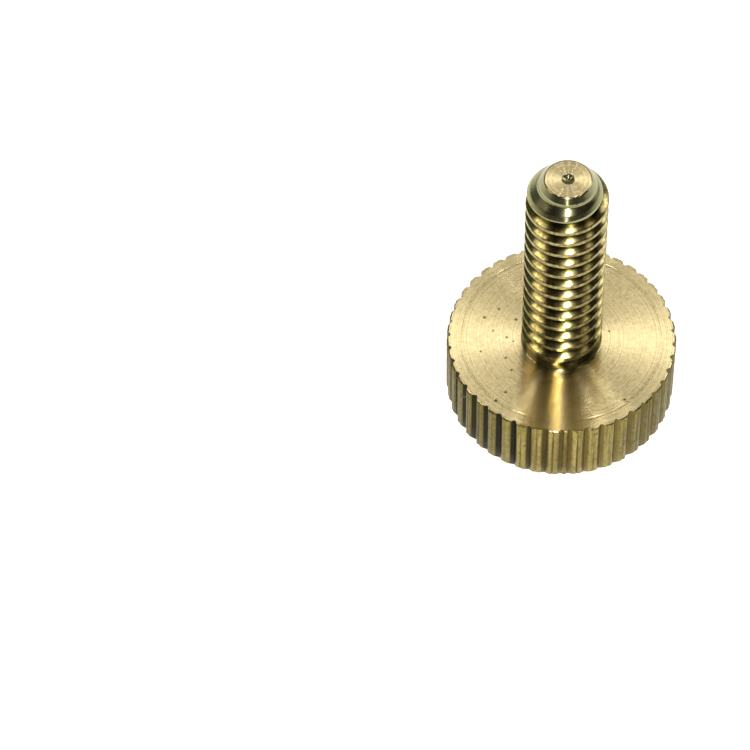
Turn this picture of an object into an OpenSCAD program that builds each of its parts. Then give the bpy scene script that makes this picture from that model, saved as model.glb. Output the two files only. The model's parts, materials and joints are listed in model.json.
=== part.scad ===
// Knurled thumb screw, turned from one bar of brass.
// It stands on its head: the outer face is on z = 0, and the threaded shank points up.

/* [Head] */
// Diameter over the teeth of the knurl
head_d = 13.9; // [12:0.1:18]
// Thickness of the head
head_h = 5.2; // [4:0.1:8]
// Chamfer round the outer face, cut after the knurl
outer_chamfer = 0.7; // [0.4:0.05:1]
// Edge break round the clamping face
rim_break = 0.12; // [0.05:0.01:0.3]

/* [Knurl] */
// Number of straight grooves
grooves = 44; // [36:1:48]
// Turn of the first groove about the axis
knurl_turn = -88; // [-90:1:0]
// Angle of the narrow tooth at which the knurl closes on itself
narrow_tooth = 4.3; // [4:0.1:9]
// Depth of a groove between two teeth
groove_depth = 0.28; // [0.15:0.01:0.32]
// Included angle of a groove
groove_angle = 90; // [60:5:90]

/* [Shank] */
// Diameter over the crests of the thread
crest_d = 4.83; // [4:0.01:6]
// Threads in one inch
threads_per_inch = 24; // [20:1:32]
// Length of the shank under the head
shank_l = 15.9; // [10:0.1:25]
// Plain stretch between the head and the end of the groove
plain_l = 1; // [0.8:0.1:3]

/* [End] */
// Diameter of the flat end
tip_d = 2.75; // [2:0.05:3.5]
// Height of the chamfer on the end
tip_chamfer_h = 1.55; // [0.8:0.05:2]
// Diameter of the centre dimple in the end
dimple_d = 0.7; // [0.3:0.05:1]
// Depth of the centre dimple in the end
dimple_depth = 0.2; // [0.1:0.05:0.4]

/* [Hidden] */
$fn = 96;
inch = 25.4;
clear = 1;                                   // how far a cutter stands out of what it cuts
total_l = head_h + shank_l;

// Straight knurl
groove_half_w = groove_depth * tan(groove_angle / 2);
groove_step = (360 - narrow_tooth) / (grooves - 1);

// Unified thread form: 60 degrees, with blunt crests that leave 3/4 of the pitch open
pitch = inch / threads_per_inch;
thread_depth = 0.6 * pitch;
root_r = crest_d / 2 - thread_depth;
mouth_half_w = pitch * 3 / 8;
flank_slope = tan(30);
cutter_over = 0.05;                          // the cutter's mouth stands this far off the crests
steps_per_turn = 24;
thread_start_z = head_h + plain_l;           // middle of the groove where it runs out
thread_start_angle = 66;                     // where round the shank the groove runs out
run_out = 0.35;                              // turns over which the groove fades
cut_turns = (total_l + mouth_half_w - thread_start_z) / pitch;
cut_steps = ceil(cut_turns * steps_per_turn);

// One section of the thread cutter at step i: mouth and root, below and above
function fade(i) = min(1, i / (run_out * steps_per_turn));
function cutter_root_r(i) = crest_d / 2 + cutter_over / 2 - (crest_d / 2 + cutter_over / 2 - root_r) * fade(i);
function half_w(r) = mouth_half_w - (crest_d / 2 - r) * flank_slope;
function corner(i, r, side) =
    let (angle = thread_start_angle + 360 * i / steps_per_turn)
    [r * cos(angle), r * sin(angle), thread_start_z + pitch * i / steps_per_turn + side * half_w(r)];
function section(i) =
    let (mouth_r = crest_d / 2 + cutter_over, inner_r = cutter_root_r(i))
    [corner(i, mouth_r, -1), corner(i, inner_r, -1), corner(i, inner_r, 1), corner(i, mouth_r, 1)];

// The turned blank in section: radius, height
blank = [
    [0, 0],
    [head_d / 2 - outer_chamfer, 0],
    [head_d / 2, outer_chamfer],
    [head_d / 2, head_h - rim_break],
    [head_d / 2 - rim_break, head_h],
    [crest_d / 2, head_h],
    [crest_d / 2, total_l - tip_chamfer_h],
    [tip_d / 2, total_l],
    [dimple_d / 2, total_l],
    [0, total_l - dimple_depth]
];

module knurl_groove() {
    translate([head_d / 2, 0, -clear])
        linear_extrude(head_h + 2 * clear)
            polygon([
                [-groove_depth, 0],
                [clear, groove_half_w * (1 + clear / groove_depth)],
                [clear, -groove_half_w * (1 + clear / groove_depth)]
            ]);
}

module thread_cutter() {
    corners = [for (i = [0:cut_steps]) each section(i)];
    sides = [
        for (i = [0:cut_steps - 1], k = [0:3])
            let (a = 4 * i + k, b = 4 * i + (k + 1) % 4)
            each [[a, b + 4, b], [a, a + 4, b + 4]]
    ];
    ends = [[0, 1, 2, 3], [for (k = [3:-1:0]) 4 * cut_steps + k]];
    polyhedron(corners, concat(sides, ends), convexity = 10);
}

module thumb_screw() {
    color("#b59a55")
        difference() {
            rotate_extrude()
                polygon(blank);
            for (i = [0:grooves - 1])
                rotate(knurl_turn + i * groove_step)
                    knurl_groove();
            thread_cutter();
        }
}

thumb_screw();
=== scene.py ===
import json
import math
import random

import bmesh
import bpy
from mathutils import Matrix, Vector, noise


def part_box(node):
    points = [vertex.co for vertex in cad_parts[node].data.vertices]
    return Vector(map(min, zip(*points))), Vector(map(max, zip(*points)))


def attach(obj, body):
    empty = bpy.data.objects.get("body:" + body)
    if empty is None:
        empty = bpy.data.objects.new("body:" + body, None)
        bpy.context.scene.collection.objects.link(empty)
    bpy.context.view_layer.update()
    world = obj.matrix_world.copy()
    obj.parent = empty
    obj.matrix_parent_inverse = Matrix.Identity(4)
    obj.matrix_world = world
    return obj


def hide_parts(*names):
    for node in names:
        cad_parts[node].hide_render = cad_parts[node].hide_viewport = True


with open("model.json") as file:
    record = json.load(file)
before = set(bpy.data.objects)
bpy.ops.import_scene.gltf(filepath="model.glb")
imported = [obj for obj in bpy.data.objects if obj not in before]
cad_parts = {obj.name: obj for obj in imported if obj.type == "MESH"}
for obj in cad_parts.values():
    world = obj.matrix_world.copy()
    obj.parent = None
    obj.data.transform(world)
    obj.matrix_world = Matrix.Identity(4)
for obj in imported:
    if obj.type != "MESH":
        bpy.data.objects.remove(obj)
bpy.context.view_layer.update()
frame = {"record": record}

mm = 0.001
inch = 25.4 * mm
fullTurn = 2 * math.pi
weld = 0.001 * mm                     # vertices nearer to each other than this become one

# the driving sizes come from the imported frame, so the dressed screw always fits its solid
mounts = {mount["name"]: mount for mount in frame["record"]["mounts"]}
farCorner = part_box("thumb_screw")[1]
headRadius = farCorner.x
totalLength = farCorner.z
faceHeight = mounts["clamping_face"]["pos_m"][2]
crestRadius = mounts["thread"]["dims"]["r_mm"] * mm


def softMax(value, floor, softness):
    gap = value - floor
    return floor + 0.5 * (gap + math.sqrt(gap * gap + softness * softness))


def softMin(value, ceiling, softness):
    return -softMax(-value, -ceiling, softness)


def radiusOf(vert):
    return math.hypot(vert.co.x, vert.co.y)


def setRadius(vert, radius):
    share = radius / radiusOf(vert)
    vert.co.x *= share
    vert.co.y *= share


def extrudeRing(bm, edges, place):
    # place gives the new radius and height of a vertex
    grown = bmesh.ops.extrude_edge_only(bm, edges=edges)["geom"]
    for vert in [item for item in grown if isinstance(item, bmesh.types.BMVert)]:
        radius, height = place(vert)
        setRadius(vert, radius)
        vert.co.z = height
    return [item for item in grown if isinstance(item, bmesh.types.BMEdge)
            and all(face.is_valid for face in item.link_faces) and len(item.link_faces) == 1]


def softSection(corners, softness):
    # a corner becomes two points, one on each side of it, as a broken edge has
    mostOfEdge = 0.4                  # so that the points of two corners never meet
    points = [corners[0]]
    for before, corner, after in zip(corners, corners[1:], corners[2:]):
        for neighbour in (before, after):
            along = Vector(neighbour) - Vector(corner)
            points.append(Vector(corner) + along * min(mostOfEdge, softness / along.length))
    return points + [corners[-1]]


shank = {
    "threadsPerInch": 24,
    "grooveDepth": 0.6,               # of the pitch
    "mouth": 0.375,                   # half the groove's width at the crests, of the pitch
    "flankSlope": math.tan(math.radians(30)),
    "softness": 0.035 * mm,           # how far the profile's corners are rounded
    # where the profile has its points, from the groove's middle, of the pitch: closest at its corners
    "profile": [0, 0.02, 0.045, 0.085, 0.14, 0.2, 0.26, 0.32, 0.35, 0.375, 0.4, 0.44],
    "plainLength": 1 * mm,            # from the clamping face to the end of the solid's groove
    "endAngle": math.radians(66),     # where round the shank that end is
    "lastTrace": 0.5,                 # turns by which the last trace of the groove runs further down
    "runOut": 0.35,                   # turns over which the groove fades
    "spareTurns": 2,                  # made past each end of the thread, and cut off again
    "stepsPerTurn": 144,
    "footRadius": 0.03 * mm,
    "footPoints": (0.3, 1),           # where the foot's small radius has its points, from the shank out
    "footTurned": 0.5,                # how far up that radius the head's finish goes, of its height
    "reach": 1.01,                    # of the crests' radius: up to here a face is part of the shank
}

tip = {
    "radius": 1.375 * mm,
    "chamferHeight": 1.55 * mm,
    "edgeSoftness": 0.03 * mm,
    "edgeTurned": 0.1,                # how far down that edge the flat end's finish goes, of its height
    "guard": 0.09 * mm,               # how near an edge the flat beside it ends
    "leadHeight": totalLength - 0.4 * mm,    # up to here the die left a trace of the groove on the chamfer
    "leadFade": 0.2 * mm,
    "leadDepth": 0.16 * mm,
    "dimpleRadius": 0.35 * mm,
    "dimpleDepth": 0.2 * mm,
    "lipDrop": 0.012 * mm,            # how far the dimple's lip is turned in
    "dimplePoints": [(0.5, 0.6), (0.1, 1)],  # of its radius and its depth, below the lip
}

pitch = inch / shank["threadsPerInch"]
grooveDepth = shank["grooveDepth"] * pitch
grooveStart = faceHeight + shank["plainLength"] - shank["lastTrace"] * pitch
startAngle = shank["endAngle"] - shank["lastTrace"] * fullTurn


def grooveDepthAt(share):
    # share is the distance from the groove's middle, of the pitch
    slant = (shank["mouth"] - abs(share)) * pitch / shank["flankSlope"]
    return softMax(softMin(slant, grooveDepth, shank["softness"]), 0, shank["softness"])


def coneRadius(height):
    slope = (crestRadius - tip["radius"]) / tip["chamferHeight"]
    return tip["radius"] + (totalLength - height) * slope


def makeThread(bm):
    # one pitch of the profile after another, spun once with a rise of one pitch
    spare = shank["spareTurns"]
    above = int((totalLength - grooveStart) / pitch) + spare
    shares = [-share for share in reversed(shank["profile"][1:])] + shank["profile"] + [0.5]
    line = []
    for groove in range(-spare, above):
        for share in shares:
            radius = crestRadius - grooveDepthAt(share)
            line.append(bm.verts.new((radius, 0, grooveStart + (groove + share) * pitch)))
    edges = [bm.edges.new(pair) for pair in zip(line, line[1:])]
    bmesh.ops.rotate(bm, verts=line, cent=(0, 0, 0), matrix=Matrix.Rotation(startAngle, 3, "Z"))
    bmesh.ops.spin(bm, geom=line + edges, cent=(0, 0, 0), axis=(0, 0, 1), angle=fullTurn,
                   dvec=(0, 0, pitch / shank["stepsPerTurn"]), steps=shank["stepsPerTurn"], use_merge=False)
    bmesh.ops.remove_doubles(bm, verts=bm.verts[:], dist=weld)


def trimThread(bm):
    # the groove fades out near the head, and the end's cone cuts off the crests
    for vert in bm.verts:
        turn = (math.atan2(vert.co.y, vert.co.x) - startAngle) % fullTurn / fullTurn
        turns = round((vert.co.z - grooveStart) / pitch - turn) + turn
        fade = min(1, max(0, turns / shank["runOut"]))
        depth = (crestRadius - radiusOf(vert)) * fade
        lead = min(1, max(0, (tip["leadHeight"] - vert.co.z) / tip["leadFade"]))
        trace = tip["leadDepth"] * depth / grooveDepth * lead
        setRadius(vert, softMin(crestRadius - depth, coneRadius(vert.co.z) - trace, shank["softness"]))


def cutLevel(bm, height, keepAbove):
    plane = Vector((0, 0, height))
    bmesh.ops.bisect_plane(bm, geom=bm.verts[:] + bm.edges[:] + bm.faces[:], dist=weld, plane_co=plane,
                           plane_no=(0, 0, 1), clear_inner=keepAbove, clear_outer=not keepAbove)
    return [edge for edge in bm.edges
            if len(edge.link_faces) == 1 and all(abs(v.co.z - height) < 2 * weld for v in edge.verts)]


def closeTip(bm, ring):
    # the flat end, the dimple's rounded lip and its cone
    soft = tip["edgeSoftness"]
    section = [
        (tip["radius"] - soft, totalLength),
        (tip["radius"] - tip["guard"], totalLength),
        (tip["dimpleRadius"] + tip["guard"], totalLength),
        (tip["dimpleRadius"] + soft, totalLength),
        (tip["dimpleRadius"] - soft, totalLength - tip["lipDrop"]),
    ]
    for across, down in tip["dimplePoints"]:
        section.append((tip["dimpleRadius"] * across, totalLength - tip["dimpleDepth"] * down))
    for point in section:
        ring = extrudeRing(bm, ring, lambda vert, point=point: point)
    centre = list({vert for edge in ring for vert in edge.verts})
    bmesh.ops.pointmerge(bm, verts=centre, merge_co=(0, 0, totalLength - tip["dimpleDepth"]))


def makeShank(bm):
    makeThread(bm)
    trimThread(bm)
    closeTip(bm, cutLevel(bm, totalLength - tip["edgeSoftness"], False))
    ring = cutLevel(bm, faceHeight + shank["footRadius"], True)
    foot = shank["footRadius"]
    for share in shank["footPoints"]:
        place = (crestRadius + foot * share * share, faceHeight + foot * (1 - share))
        ring = extrudeRing(bm, ring, lambda vert, place=place: place)
    return ring


head = {
    "grooveCount": 44,
    "knurlTurn": math.radians(-88),   # azimuth of the first groove
    "narrowTooth": math.radians(4.3), # the tooth at which the knurl closes on itself
    "grooveDepth": 0.28 * mm,
    "grooveSoftness": 0.03 * mm,      # how far the groove's edges and bottom are rounded
    "depthSpread": 0.12,              # share by which a groove's depth differs from the mean
    "angleSpread": 0.03,              # share of a tooth by which a groove wanders
    "crestWear": 0.03 * mm,           # most that is missing from a worn tooth
    "lineDepth": 0.1 * mm,            # most that the second pass of the wheel marked a tooth
    "lineLeast": 0.5,                 # least that it did, of that
    "lineShare": 0.5,                 # where that mark runs, of the tooth's width
    # where a tooth has its points, of its width, from the middle of one groove on towards the next
    "toothPoints": [0, 0.05, 0.12, 0.19, 0.25, 0.3, 0.36, 0.41, 0.455,
                    0.5, 0.545, 0.59, 0.64, 0.7, 0.75, 0.81, 0.88, 0.95],
    "outerChamfer": 0.7 * mm,
    "rimBreak": 0.12 * mm,
    "leastBreak": 0.01 * mm,          # what the rim's break still takes off a groove's bottom
    "edgeSoftness": 0.03 * mm,
    "guard": 0.06 * mm,               # how near an edge the flat beside it ends
    "hubRadius": 0.5 * mm,            # of the disc in the middle of the outer face
    # rings of points between the edges: shares of the head's radius on its faces, of its height on the wall
    "outerFaceRing": 0.5,
    "wallRings": (0.35, 0.65),
    "clampingFaceRing": 0.6,
    "ringRadius": 0.875,              # of the head's radius: the shallow ring cut in the clamping face
    "ringWidth": 0.12 * mm,
    "ringDepth": 0.013 * mm,
    "waviness": 0.012 * mm,           # most by which the wall and the rim are uneven
    "wavinessSize": 0.45 * mm,
    "wavinessSquash": 0.4,            # of a height, so that the unevenness is drawn out along the knurl
    "wavinessReach": 0.6 * mm,        # how far in from the full radius it goes
    "wavinessStart": 0.3,             # how far up the outer chamfer it begins, of the chamfer's height
    "knurlReach": 0.5 * mm,           # how far in from the full radius the knurled finish goes
    "wallTurned": 0.5,                # a face whose normal points up or down by this share isn't knurled
    "rimTurned": 0.9,                 # the same on the rim
}


def toothRadius(share, turn, depth, wear, line):
    # a V groove with a rounded bottom and rounded shoulders; share is from 0 to 1 between two grooves
    across = min(share, 1 - share) * turn * headRadius
    soft = head["grooveSoftness"]
    bottom = math.sqrt(across * across + soft * soft) - soft
    groove = softMax(depth - bottom, 0, soft)
    aside = abs(share - head["lineShare"]) * turn * headRadius
    return headRadius - max(groove, wear, line - aside)


def headSection(own):
    # the section at a radius of its own, from the middle of the outer face to the foot of the shank
    ring = head["ringRadius"] * headRadius
    half = head["ringWidth"] / 2
    chamfer = head["outerChamfer"]
    guard = head["guard"]
    rim = min(own - head["leastBreak"], headRadius - head["rimBreak"])
    corners = [
        (head["hubRadius"], 0),
        (headRadius * head["outerFaceRing"], 0),
        (headRadius - chamfer - guard, 0),
        (headRadius - chamfer, 0),
        (own, chamfer - (headRadius - own)),
        (own, faceHeight * head["wallRings"][0]),
        (own, faceHeight * head["wallRings"][1]),
        (own, min(faceHeight, faceHeight - head["rimBreak"] + headRadius - own)),
        (rim, faceHeight),
        (rim - guard, faceHeight),
        (ring + half + guard, faceHeight),
        (ring + half, faceHeight),
        (ring, faceHeight - head["ringDepth"]),
        (ring - half, faceHeight),
        (ring - half - guard, faceHeight),
        (headRadius * head["clampingFaceRing"], faceHeight),
        (crestRadius + shank["footRadius"] + guard, faceHeight),
    ]
    return softSection(corners, head["edgeSoftness"])


def makeHead(bm):
    # a toothed ring, carried along the section; each vertex of it knows its own full radius
    rng = random.Random(11)
    grooves = [(head["grooveDepth"] * (1 + rng.uniform(-1, 1) * head["depthSpread"]),
                rng.uniform(0, 1) ** 2 * head["crestWear"],
                rng.uniform(head["lineLeast"], 1) * head["lineDepth"],
                rng.uniform(-1, 1) * head["angleSpread"]) for _ in range(head["grooveCount"])]
    columns = len(head["toothPoints"])
    wideTooth = (fullTurn - head["narrowTooth"]) / (head["grooveCount"] - 1)
    own = bm.verts.layers.float["own radius"]
    hub = head["hubRadius"]
    disc = bmesh.ops.create_circle(bm, cap_ends=True, cap_tris=True, radius=hub,
                                   segments=columns * head["grooveCount"])["verts"]
    outline = [vert for vert in disc if radiusOf(vert) > hub / 2]
    for index, vert in enumerate(outline):
        tooth, column = divmod(index, columns)
        share = head["toothPoints"][column]
        following = (tooth + 1) % head["grooveCount"]
        turn = wideTooth if following else head["narrowTooth"]
        depth = grooves[tooth if share < 0.5 else following][0]
        wear, line = grooves[tooth][1:3]
        wander = grooves[tooth][3] * (1 - share) + grooves[following][3] * share
        angle = head["knurlTurn"] + tooth * wideTooth + share * turn + wander * wideTooth
        vert.co = (hub * math.cos(angle), hub * math.sin(angle), 0)
        vert[own] = toothRadius(share, turn, depth, wear, line)
    onOutline = set(outline)
    ring = [edge for edge in bm.edges
            if len(edge.link_faces) == 1 and all(vert in onOutline for vert in edge.verts)]
    for step in range(1, len(headSection(headRadius))):
        ring = extrudeRing(bm, ring, lambda vert, step=step: headSection(vert[own])[step])
    return ring


def roughenKnurl(bm):
    # small unevenness on the wall and rim of the head, never past the full radius
    start = head["outerChamfer"] * head["wavinessStart"]
    for vert in bm.verts:
        radius = radiusOf(vert)
        if radius < headRadius - head["wavinessReach"] or vert.co.z < start:
            continue
        place = Vector((vert.co.x, vert.co.y, vert.co.z * head["wavinessSquash"]))
        push = noise.noise(place / head["wavinessSize"])
        setRadius(vert, min(headRadius, radius - abs(push) * head["waviness"]))


turnedFinish, knurledFinish, threadedFinish = range(3)


def finishOf(face):
    centre = face.calc_center_median()
    radius = math.hypot(centre.x, centre.y)
    nearRim = 2 * head["rimBreak"]
    onRim = radius > headRadius - nearRim and centre.z > faceHeight - nearRim
    turnedFrom = head["rimTurned"] if onRim else head["wallTurned"]
    if radius > headRadius - head["knurlReach"] and abs(face.normal.z) < turnedFrom:
        return knurledFinish
    aboveFoot = centre.z > faceHeight + shank["footTurned"] * shank["footRadius"]
    belowEnd = centre.z < totalLength - tip["edgeTurned"] * tip["edgeSoftness"]
    if aboveFoot and belowEnd and radius < crestRadius * shank["reach"]:
        return threadedFinish
    return turnedFinish


sharpAngle = math.radians(34)         # an edge bent more than this stays crisp


def makeScrew():
    bm = bmesh.new()
    bm.verts.layers.float.new("own radius")
    shankRing = makeShank(bm)
    headRing = makeHead(bm)
    bmesh.ops.bridge_loops(bm, edges=shankRing + headRing)
    bmesh.ops.remove_doubles(bm, verts=bm.verts[:], dist=weld / 2)
    roughenKnurl(bm)
    bmesh.ops.recalc_face_normals(bm, faces=bm.faces[:])
    for face in bm.faces:
        face.smooth = True
        face.material_index = finishOf(face)
    for edge in bm.edges:
        edge.smooth = edge.calc_face_angle(0) < sharpAngle
    openEdges = sum(1 for edge in bm.edges if len(edge.link_faces) != 2)
    mesh = bpy.data.meshes.new("thumbScrew")
    bm.to_mesh(mesh)
    print("screw:", len(mesh.vertices), "vertices,", openEdges, "open edges, volume",
          round(bm.calc_volume() / mm ** 3, 1), "mm3")
    bm.free()
    piece = bpy.data.objects.new("thumbScrew", mesh)
    bpy.context.scene.collection.objects.link(piece)
    return piece


def hexColour(code):
    def toLinear(value):
        return value / 12.92 if value <= 0.04045 else ((value + 0.055) / 1.055) ** 2.4
    return tuple(toLinear(int(code[start:start + 2], 16) / 255) for start in (1, 3, 5)) + (1,)


def addNode(tree, kind, settings=None, links=None):
    # a setting in lower case is the node's own property, any other is a socket's value; links feed sockets
    node = tree.nodes.new(kind)
    for name, value in (settings or {}).items():
        if str(name).islower():
            setattr(node, name, value)
        else:
            node.inputs[name].default_value = value
    for name, socket in (links or {}).items():
        tree.links.new(socket, node.inputs[name])
    return node


def newMaterial(name):
    material = bpy.data.materials.new(name)
    material.use_nodes = True
    material.node_tree.nodes.clear()
    return material, material.node_tree


def latheTangent(tree, place):
    # the direction round the screw's axis, in which the tool ran
    around = addNode(tree, "ShaderNodeVectorMath", {"operation": "CROSS_PRODUCT", 0: (0, 0, 1)}, {1: place})
    unit = addNode(tree, "ShaderNodeVectorMath", {"operation": "NORMALIZE"}, {0: around.outputs[0]})
    return unit.outputs[0]


acrossCut = 0.25                      # of a turn, from that direction to the one a highlight is drawn in


def radiusAndHeight(tree, place):
    flat = addNode(tree, "ShaderNodeVectorMath", {"operation": "MULTIPLY", 1: (1, 1, 0)}, {0: place})
    radius = addNode(tree, "ShaderNodeVectorMath", {"operation": "LENGTH"}, {0: flat.outputs[0]})
    height = addNode(tree, "ShaderNodeSeparateXYZ", {}, {0: place})
    return radius.outputs["Value"], height.outputs[2]


def blendColours(tree, share, first, second):
    mix = addNode(tree, "ShaderNodeMix", {"data_type": "RGBA"}, {0: share})
    for socket, colour in ((6, first), (7, second)):
        if isinstance(colour, str):
            mix.inputs[socket].default_value = hexColour(colour)
        else:
            tree.links.new(colour, mix.inputs[socket])
    return mix.outputs[2]


turned = {
    "bright": "#F0DEAC",
    "dull": "#C0A971",
    "blend": {"From Min": 0.55, "From Max": 1.15},    # of the rings and the grain together, dull to bright
    "roughness": 0.2,
    "anisotropy": 1.0,
    "ringSpacing": 0.09 * mm,         # the tool's feed for one turn
    "ringHeight": 0.0012 * mm,
    "grainSize": 0.22 * mm,
    # across, along the bench and size in millimetres: pits left in the clamping face by knocks
    "pits": [(-4.6, 1.6, 0.10), (-3.7, 2.2, 0.08), (-2.7, 1.4, 0.09), (-4.1, 0.6, 0.07), (-3.3, 0.1, 0.08),
             (-2.9, -0.2, 0.06), (-4.9, -0.9, 0.07), (-3.4, -1.4, 0.08), (-3.1, -2.3, 0.07),
             (-3.5, -3.9, 0.09), (-4.1, -4.5, 0.10), (2.9, 0.4, 0.07), (3.6, -4.6, 0.08)],
    "dirt": "#5A4A20",
    "pitEdge": {"From Min": 0.3, "From Max": 1.5},    # of a pit's size, from its dirt out to clean metal
}


def addPits(tree, place, colour):
    # the distance to the nearest pit, in sizes of that pit, says how dirty the metal is
    nearest = None
    for across, forward, size in turned["pits"]:
        centre = (across * mm, forward * mm, faceHeight)
        apart = addNode(tree, "ShaderNodeVectorMath", {"operation": "DISTANCE", 1: centre}, {0: place})
        own = addNode(tree, "ShaderNodeMath", {"operation": "DIVIDE", 1: size * mm},
                      {0: apart.outputs["Value"]})
        if nearest is not None:
            own = addNode(tree, "ShaderNodeMath", {"operation": "MINIMUM"}, {0: nearest, 1: own.outputs[0]})
        nearest = own.outputs[0]
    clearOfDirtAndShade = addNode(tree, "ShaderNodeMapRange", turned["pitEdge"], {"Value": nearest})
    return blendColours(tree, clearOfDirtAndShade.outputs[0], turned["dirt"], colour)


def turnedBrass():
    # free-cutting brass faced on a lathe: fine rings draw each highlight out across the cut
    material, tree = newMaterial("turned brass")
    place = addNode(tree, "ShaderNodeTexCoord").outputs["Object"]
    radius, height = radiusAndHeight(tree, place)
    fed = addNode(tree, "ShaderNodeMath", {"operation": "ADD"}, {0: radius, 1: height})
    turns = addNode(tree, "ShaderNodeMath", {"operation": "DIVIDE", 1: turned["ringSpacing"]},
                    {0: fed.outputs[0]})
    rings = addNode(tree, "ShaderNodeTexNoise",
                    {"noise_dimensions": "1D", "Scale": 1, "Detail": 3, "Roughness": 0.6},
                    {"W": turns.outputs[0]})
    grain = addNode(tree, "ShaderNodeTexNoise",
                    {"Scale": 1 / turned["grainSize"], "Detail": 3, "Roughness": 0.7}, {"Vector": place})
    both = addNode(tree, "ShaderNodeMath", {"operation": "ADD"}, {0: rings.outputs[0], 1: grain.outputs[0]})
    share = addNode(tree, "ShaderNodeMapRange", turned["blend"], {"Value": both.outputs[0]})
    colour = blendColours(tree, share.outputs[0], turned["dull"], turned["bright"])
    colour = addPits(tree, place, colour)
    bump = addNode(tree, "ShaderNodeBump", {"Strength": 1, "Distance": turned["ringHeight"]},
                   {"Height": rings.outputs[0]})
    shader = addNode(tree, "ShaderNodeBsdfPrincipled",
                     {"Metallic": 1, "Roughness": turned["roughness"],
                      "Anisotropic": turned["anisotropy"], "Anisotropic Rotation": acrossCut},
                     {"Base Color": colour, "Normal": bump.outputs[0],
                      "Tangent": latheTangent(tree, place)})
    addNode(tree, "ShaderNodeOutputMaterial", {}, {0: shader.outputs[0]})
    return material


knurled = {
    "crest": "#AC9C5A",
    "groove": "#7E6E36",
    "grooveFrom": 0.2 * mm,           # below the full radius: from here down all is the groove's colour
    "crestFrom": 0.05 * mm,           # and from here up the crest's
    "roughness": 0.4,
    "streakWidth": 0.14 * mm,
    "streakSquash": 0.03,             # of a height, so that the wheel's streaks run along the grooves
    "streakHeight": 0.012 * mm,
    "streakBlend": {"From Min": 0.3, "From Max": 0.6},
    "tarnish": "#6C5F34",
    "tarnishSize": 0.3 * mm,
    "tarnishBlend": {"From Min": 0.45, "From Max": 0.75},
    # painted shade: near black, for the grooves on the front left and towards the head's left and right
    "grime": "#201D04",
    "grimeSide": (-0.78, -0.62, 0),   # the side on which painted shade fills the grooves
    "grimeReach": {"From Min": 0.6 * headRadius, "From Max": 0.93 * headRadius},    # out on that side
    "hollow": {"From Min": 0.8, "From Max": 0.2},     # of the way up a groove, from no painted shade to full painted shade
    # painted shade over the knurl, more of it towards the head's left and right
    "film": {"From Min": 0.25 * headRadius, "From Max": 0.7 * headRadius, "To Max": 0.48},
    "stain": "#4E5040",
    "stainSize": 0.5 * mm,
    "stainBlend": {"From Min": 0.64, "From Max": 0.72},
}


# how much painted shade: in the grooves on the front left, and towards the head's left and right
def grimeShare(tree, place, depth):
    facing = addNode(tree, "ShaderNodeVectorMath", {"operation": "DOT_PRODUCT", 1: knurled["grimeSide"]},
                     {0: place})
    side = addNode(tree, "ShaderNodeMapRange", knurled["grimeReach"], {"Value": facing.outputs["Value"]})
    hollow = addNode(tree, "ShaderNodeMapRange", knurled["hollow"], {"Value": depth})
    across = addNode(tree, "ShaderNodeSeparateXYZ", {}, {0: place})
    aside = addNode(tree, "ShaderNodeMath", {"operation": "ABSOLUTE"}, {0: across.outputs[0]})
    film = addNode(tree, "ShaderNodeMapRange", knurled["film"], {"Value": aside.outputs[0]})
    share = addNode(tree, "ShaderNodeMath", {"operation": "MULTIPLY_ADD"},
                    {0: side.outputs[0], 1: hollow.outputs[0], 2: film.outputs[0]})
    return share.outputs[0]


def knurledBrass():
    # the same bar under the knurling wheel: dull crests and darker grooves, with painted shade in the
    # grooves on the front left and towards the head's left and right
    material, tree = newMaterial("knurled brass")
    place = addNode(tree, "ShaderNodeTexCoord").outputs["Object"]
    radius = radiusAndHeight(tree, place)[0]
    depth = addNode(tree, "ShaderNodeMapRange",
                    {"From Min": headRadius - knurled["grooveFrom"],
                     "From Max": headRadius - knurled["crestFrom"]}, {"Value": radius})
    drawn = addNode(tree, "ShaderNodeVectorMath",
                    {"operation": "MULTIPLY", 1: (1, 1, knurled["streakSquash"])}, {0: place})
    streaks = addNode(tree, "ShaderNodeTexNoise", {"Scale": 1 / knurled["streakWidth"], "Detail": 2},
                      {"Vector": drawn.outputs[0]})
    streak = addNode(tree, "ShaderNodeMapRange", knurled["streakBlend"], {"Value": streaks.outputs[0]})
    share = addNode(tree, "ShaderNodeMath", {"operation": "MULTIPLY"},
                    {0: depth.outputs[0], 1: streak.outputs[0]})
    colour = blendColours(tree, share.outputs[0], knurled["groove"], knurled["crest"])
    cloud = addNode(tree, "ShaderNodeTexNoise",
                    {"Scale": 1 / knurled["tarnishSize"], "Detail": 3, "Roughness": 0.7}, {"Vector": place})
    tarnished = addNode(tree, "ShaderNodeMapRange", knurled["tarnishBlend"], {"Value": cloud.outputs[0]})
    colour = blendColours(tree, tarnished.outputs[0], colour, knurled["tarnish"])
    colour = blendColours(tree, grimeShare(tree, place, depth.outputs[0]), colour, knurled["grime"])
    specks = addNode(tree, "ShaderNodeTexNoise", {"Scale": 1 / knurled["stainSize"], "Detail": 2},
                     {"Vector": place})
    stained = addNode(tree, "ShaderNodeMapRange", knurled["stainBlend"], {"Value": specks.outputs[0]})
    colour = blendColours(tree, stained.outputs[0], colour, knurled["stain"])
    bump = addNode(tree, "ShaderNodeBump", {"Strength": 1, "Distance": knurled["streakHeight"]},
                   {"Height": streaks.outputs[0]})
    shader = addNode(tree, "ShaderNodeBsdfPrincipled", {"Metallic": 1, "Roughness": knurled["roughness"]},
                     {"Base Color": colour, "Normal": bump.outputs[0]})
    addNode(tree, "ShaderNodeOutputMaterial", {}, {0: shader.outputs[0]})
    return material


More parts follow.
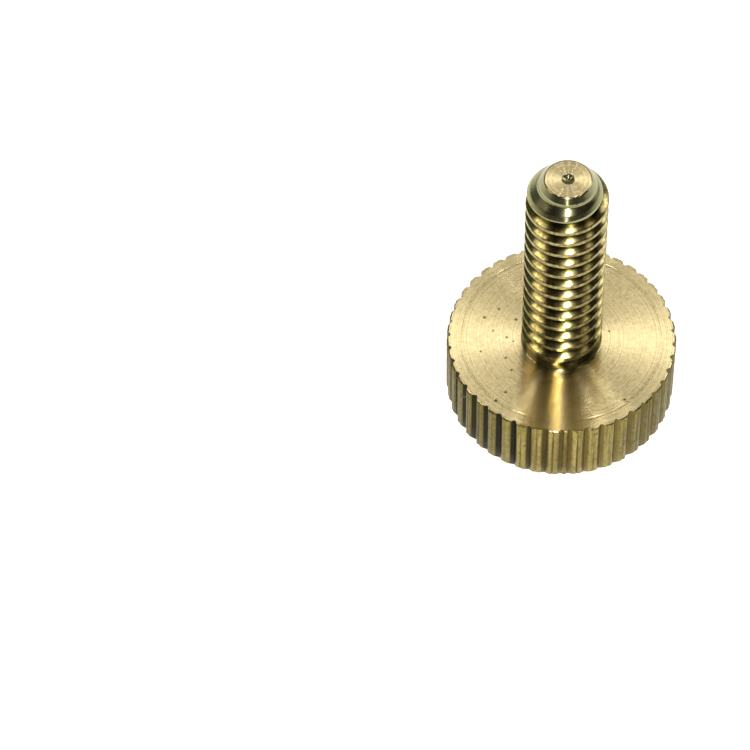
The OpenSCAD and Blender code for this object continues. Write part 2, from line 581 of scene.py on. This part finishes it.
threaded = {
    "crest": "#B9AA72",
    # painted shade for the groove's root and inner flanks, which the crest above keeps from the light
    "root": "#3A3717",
    "cleanDepth": 0.12 * mm,          # below the crests: down to here there is no painted shade
    "dirtyDepth": 0.32 * mm,          # and from here on the groove is painted shade
    "uneven": 0.2 * mm,               # by how much those depths differ from place to place
    "unevenSize": 0.5 * mm,
    # how much further down the painted shade begins at the shank's left and right
    "sideClean": {"From Min": 0.5 * crestRadius, "From Max": crestRadius, "To Max": 0.12 * mm},
    # painted shade round the foot of the shank, and how much of the thread's colour shows through it
    "footClean": {"From Min": faceHeight + 0.63 * mm, "From Max": faceHeight + 1.08 * mm, "To Min": 0.25},
    "tornSize": 0.22 * mm,
    "torn": {"From Min": 0.38, "From Max": 0.62, "To Min": 0.4},
    "anisotropy": 0.6,
    # roughness, from the flanks up to the crests
    "roughness": {"From Min": crestRadius - 0.06 * mm, "From Max": crestRadius - 0.01 * mm,
                  "To Min": 0.22, "To Max": 0.3},
}

chamfered = {
    "worn": "#9E9A74",
    # heights over which the chamfer's wear takes over from the thread's colours
    "rise": {"From Min": totalLength - tip["chamferHeight"],
             "From Max": totalLength - 0.75 * tip["chamferHeight"]},
    # painted shade on the dimple's far wall: its middle, and how far from it the shade fades out
    "dirtPlace": (0, 0.55 * tip["dimpleRadius"], totalLength),
    "dirtEdge": {"From Min": 0.6 * tip["dimpleRadius"], "From Max": 0.9 * tip["dimpleRadius"],
                 "To Min": 0.65},
}


def crestShare(tree, place, radius, height):
    # 1 on the metal's own colour and 0 where the groove is painted shade
    cloud = addNode(tree, "ShaderNodeTexNoise", {"Scale": 1 / threaded["unevenSize"], "Detail": 4},
                    {"Vector": place})
    uneven = addNode(tree, "ShaderNodeMath",
                     {"operation": "MULTIPLY_ADD", 1: threaded["uneven"], 2: -threaded["uneven"] / 2},
                     {0: cloud.outputs[0]})
    across = addNode(tree, "ShaderNodeSeparateXYZ", {}, {0: place})
    aside = addNode(tree, "ShaderNodeMath", {"operation": "ABSOLUTE"}, {0: across.outputs[0]})
    lessShadeAside = addNode(tree, "ShaderNodeMapRange", threaded["sideClean"], {"Value": aside.outputs[0]})
    level = addNode(tree, "ShaderNodeMath", {"operation": "ADD"}, {0: radius, 1: uneven.outputs[0]})
    level = addNode(tree, "ShaderNodeMath", {"operation": "ADD"},
                    {0: level.outputs[0], 1: lessShadeAside.outputs[0]})
    clearOfDirtAndShade = addNode(tree, "ShaderNodeMapRange",
                    {"From Min": crestRadius - threaded["dirtyDepth"],
                     "From Max": crestRadius - threaded["cleanDepth"]}, {"Value": level.outputs[0]})
    foot = addNode(tree, "ShaderNodeMapRange", threaded["footClean"], {"Value": height})
    share = addNode(tree, "ShaderNodeMath", {"operation": "MULTIPLY"},
                    {0: clearOfDirtAndShade.outputs[0], 1: foot.outputs[0]})
    torn = addNode(tree, "ShaderNodeTexNoise", {"Scale": 1 / threaded["tornSize"], "Detail": 2},
                   {"Vector": place})
    whole = addNode(tree, "ShaderNodeMapRange", threaded["torn"], {"Value": torn.outputs[0]})
    share = addNode(tree, "ShaderNodeMath", {"operation": "MULTIPLY"},
                    {0: share.outputs[0], 1: whole.outputs[0]})
    return share.outputs[0]


def chamferShare(tree, place, height):
    # on the chamfer its own worn colour covers the thread's painted shade, except in the far half of the
    # dimple, where the painted shade stays
    worn = addNode(tree, "ShaderNodeMapRange", chamfered["rise"], {"Value": height})
    fromDirt = addNode(tree, "ShaderNodeVectorMath",
                       {"operation": "DISTANCE", 1: chamfered["dirtPlace"]}, {0: place})
    clearOfDirtAndShade = addNode(tree, "ShaderNodeMapRange", chamfered["dirtEdge"], {"Value": fromDirt.outputs["Value"]})
    share = addNode(tree, "ShaderNodeMath", {"operation": "MULTIPLY"},
                    {0: worn.outputs[0], 1: clearOfDirtAndShade.outputs[0]})
    return share.outputs[0]


def threadedBrass():
    # a die-cut thread: torn dull crests and flanks the die left smooth, with painted shade in the groove's
    # root, at the foot of the shank and in the far half of the dimple
    material, tree = newMaterial("threaded brass")
    place = addNode(tree, "ShaderNodeTexCoord").outputs["Object"]
    radius, height = radiusAndHeight(tree, place)
    share = crestShare(tree, place, radius, height)
    colour = blendColours(tree, share, threaded["root"], threaded["crest"])
    colour = blendColours(tree, chamferShare(tree, place, height), colour, chamfered["worn"])
    roughness = addNode(tree, "ShaderNodeMapRange", threaded["roughness"], {"Value": radius})
    shader = addNode(tree, "ShaderNodeBsdfPrincipled",
                     {"Metallic": 1, "Anisotropic": threaded["anisotropy"],
                      "Anisotropic Rotation": acrossCut},
                     {"Base Color": colour, "Roughness": roughness.outputs[0],
                      "Tangent": latheTangent(tree, place)})
    addNode(tree, "ShaderNodeOutputMaterial", {}, {0: shader.outputs[0]})
    return material


# a long lens, well above the bench, in front of the screw and a little to its left
view = {
    "place": (-11.297 * mm, -149.3 * mm, 219.972 * mm),
    "lookDown": math.radians(55.642),
    "roll": math.radians(-1.119),
    "lens": 207.955,
    "clip": (0.01, 20),
}


def makeCamera():
    data = bpy.data.cameras.new("camera")
    data.lens = view["lens"]
    data.clip_start, data.clip_end = view["clip"]
    camera = bpy.data.objects.new("camera", data)
    turn = Matrix.Rotation(math.pi / 2 - view["lookDown"], 4, "X") @ Matrix.Rotation(view["roll"], 4, "Z")
    camera.matrix_world = Matrix.Translation(view["place"]) @ turn
    bpy.context.scene.collection.objects.link(camera)
    bpy.context.scene.camera = camera


studio = {
    "floor": "#F8F8F7",
    "floorRadius": 1.4,
    "floorGlow": 0.46,                # seen by the eye and in reflections only, to keep the paper white
    "tentRadius": 1.5,
    "tentLow": "#A6A899",
    "tentHigh": "#8F9682",
    # the sine of the elevation, from the tent's lower colour to its upper one
    "tentRise": {"interpolation_type": "SMOOTHSTEP", "From Min": 0.1, "From Max": 0.5},
    # parts of the tent: direction, inner and outer angle in degrees, colour
    "openFront": ((0, -0.6, 0.8), 65, 72, "#1A170A"),
    "ceiling": ((0, 0.62, 0.785), 20, 25, "#A5A297"),
    "openBack": ((0.03, 0.829, 0.559), 10, 15, "#1A170A"),
    "openLeft": ((-0.75, 0.5, 0.43), 16, 26, "#465239"),
    # name: direction, distance, width, height, radiance, colour
    "lamps": {
        "backStrip": ((0, 0.565, 0.825), 0.6, 0.8, 0.058, 1.3, "#FFFFFF"),
        "frontStrip": ((-0.042, -0.566, 0.824), 0.6, 0.036, 0.26, 94.0, "#FFFFFF"),
        "lowStrip": ((-0.07, -0.975, 0.2), 0.6, 0.035, 0.12, 14.0, "#FFFFFF"),
        "leftSoft": ((-0.69, 0.0, 0.72), 0.7, 0.27, 0.17, 4.8, "#FFF4E0"),
        "rightFill": ((0.73, 0.3, 0.55), 0.7, 0.3, 0.3, 2.7, "#FFFFFF"),
        "rightSoft": ((0.46, -0.28, 0.85), 0.7, 0.12, 0.14, 2.0, "#FFF4E0"),
    },
    # thin strips that the turned face draws out into radial streaks: azimuth, width and radiance
    "streaks": [(-132, 0.03, 1.0), (-117, 0.007, 18.0), (-73, 0.007, 20.0), (-57, 0.009, 10.0)],
    "streakTilt": (7, 16),            # degrees between the face's normal and the normals that catch a strip
    "streakDistance": 0.7,
}


def makeFloor():
    bm = bmesh.new()
    bmesh.ops.create_circle(bm, cap_ends=True, segments=128, radius=studio["floorRadius"])
    mesh = bpy.data.meshes.new("floor")
    bm.to_mesh(mesh)
    bm.free()
    floor = bpy.data.objects.new("floor", mesh)
    bpy.context.scene.collection.objects.link(floor)
    # uncoated white paper, which gives the eye an even white without a gloss
    material, tree = newMaterial("white paper")
    paper = addNode(tree, "ShaderNodeBsdfDiffuse", {"Color": hexColour(studio["floor"])})
    path = addNode(tree, "ShaderNodeLightPath")
    seen = addNode(tree, "ShaderNodeMath", {"operation": "MAXIMUM"},
                   {0: path.outputs["Is Camera Ray"], 1: path.outputs["Is Glossy Ray"]})
    shown = addNode(tree, "ShaderNodeMath", {"operation": "MAXIMUM"},
                    {0: seen.outputs[0], 1: path.outputs["Is Transmission Ray"]})
    level = addNode(tree, "ShaderNodeMath", {"operation": "MULTIPLY", 1: studio["floorGlow"]},
                    {0: shown.outputs[0]})
    glow = addNode(tree, "ShaderNodeEmission", {}, {"Strength": level.outputs[0]})
    both = addNode(tree, "ShaderNodeAddShader", {}, {0: paper.outputs[0], 1: glow.outputs[0]})
    addNode(tree, "ShaderNodeOutputMaterial", {}, {0: both.outputs[0]})
    mesh.materials.append(material)


def makeTent():
    # a cloth tent round the bench, dark where it is open towards the room
    bm = bmesh.new()
    bmesh.ops.create_uvsphere(bm, u_segments=64, v_segments=32, radius=studio["tentRadius"])
    bmesh.ops.reverse_faces(bm, faces=bm.faces[:])
    mesh = bpy.data.meshes.new("tent")
    bm.to_mesh(mesh)
    bm.free()
    tent = bpy.data.objects.new("tent", mesh)
    bpy.context.scene.collection.objects.link(tent)
    tent.visible_camera = False
    tent.visible_shadow = False
    # white cotton lit from outside, which the metal mirrors as a soft grey green
    material, tree = newMaterial("tent cloth")
    place = addNode(tree, "ShaderNodeTexCoord").outputs["Object"]
    towards = addNode(tree, "ShaderNodeVectorMath", {"operation": "NORMALIZE"}, {0: place})
    rise = addNode(tree, "ShaderNodeSeparateXYZ", {}, {0: towards.outputs[0]})
    share = addNode(tree, "ShaderNodeMapRange", studio["tentRise"], {"Value": rise.outputs[2]})
    colour = blendColours(tree, share.outputs[0], studio["tentLow"], studio["tentHigh"])
    for part in ("openFront", "ceiling", "openBack", "openLeft"):
        direction, inner, outer, own = studio[part]
        middle = Vector(direction).normalized()
        aim = addNode(tree, "ShaderNodeVectorMath", {"operation": "DOT_PRODUCT", 1: middle},
                      {0: towards.outputs[0]})
        share = addNode(tree, "ShaderNodeMapRange",
                        {"interpolation_type": "SMOOTHSTEP", "From Min": math.cos(math.radians(outer)),
                         "From Max": math.cos(math.radians(inner))}, {"Value": aim.outputs["Value"]})
        colour = blendColours(tree, share.outputs[0], colour, own)
    glow = addNode(tree, "ShaderNodeEmission", {}, {"Color": colour})
    addNode(tree, "ShaderNodeOutputMaterial", {}, {0: glow.outputs[0]})
    mesh.materials.append(material)


def placeLamp(name, width, height, radiance, colour, away, along):
    data = bpy.data.lights.new(name, "AREA")
    data.shape = "RECTANGLE"
    data.size = width
    data.size_y = height
    data.energy = radiance * math.pi * width * height    # watts, for a lamp of this radiance and size
    data.color = hexColour(colour)[:3]
    lamp = bpy.data.objects.new(name, data)
    outward = away.normalized()
    across = along.cross(outward).normalized()
    turn = Matrix((across, outward.cross(across), outward)).transposed()
    lamp.matrix_world = Matrix.Translation(away) @ turn.to_4x4()
    lamp.visible_camera = False
    bpy.context.scene.collection.objects.link(lamp)


def makeStreaks():
    # each strip lies where the camera sees it mirrored by normals leaning one way at two tilts
    towardsCamera = (Vector(view["place"]) - Vector((0, 0, faceHeight))).normalized()
    for azimuth, width, radiance in studio["streaks"]:
        ends = []
        for tilt in studio["streakTilt"]:
            leant = Matrix.Rotation(math.radians(tilt), 3, "Y") @ Vector((0, 0, 1))
            normal = Matrix.Rotation(math.radians(azimuth), 3, "Z") @ leant
            mirrored = 2 * normal.dot(towardsCamera) * normal - towardsCamera
            ends.append(mirrored * studio["streakDistance"])
        near, far = ends
        placeLamp(f"streak {azimuth}", width, (far - near).length, radiance, "#FFFFFF",
                  (near + far) / 2, far - near)


def makeLamps():
    for name, (direction, distance, width, height, radiance, colour) in studio["lamps"].items():
        away = Vector(direction).normalized() * distance
        placeLamp(name, width, height, radiance, colour, away, Vector((0, 0, 1)))


def makeWorld():
    # a white surround, seen past the edge of the floor
    world = bpy.data.worlds.new("studio")
    bpy.context.scene.world = world
    world.use_nodes = True
    tree = world.node_tree
    tree.nodes.clear()
    back = addNode(tree, "ShaderNodeBackground", {"Color": (1, 1, 1, 1), "Strength": 1})
    addNode(tree, "ShaderNodeOutputWorld", {}, {0: back.outputs[0]})


screw = makeScrew()
for material in (turnedBrass(), knurledBrass(), threadedBrass()):    # in the order of the three finishes
    screw.data.materials.append(material)
print("finishes:", ", ".join(material.name for material in screw.data.materials))
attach(screw, "root")
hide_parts("thumb_screw")
print("screw is in place")

makeFloor()
makeTent()
makeLamps()
makeStreaks()
makeWorld()
makeCamera()
bpy.context.scene.view_settings.view_transform = "Standard"
print("studio is in place")
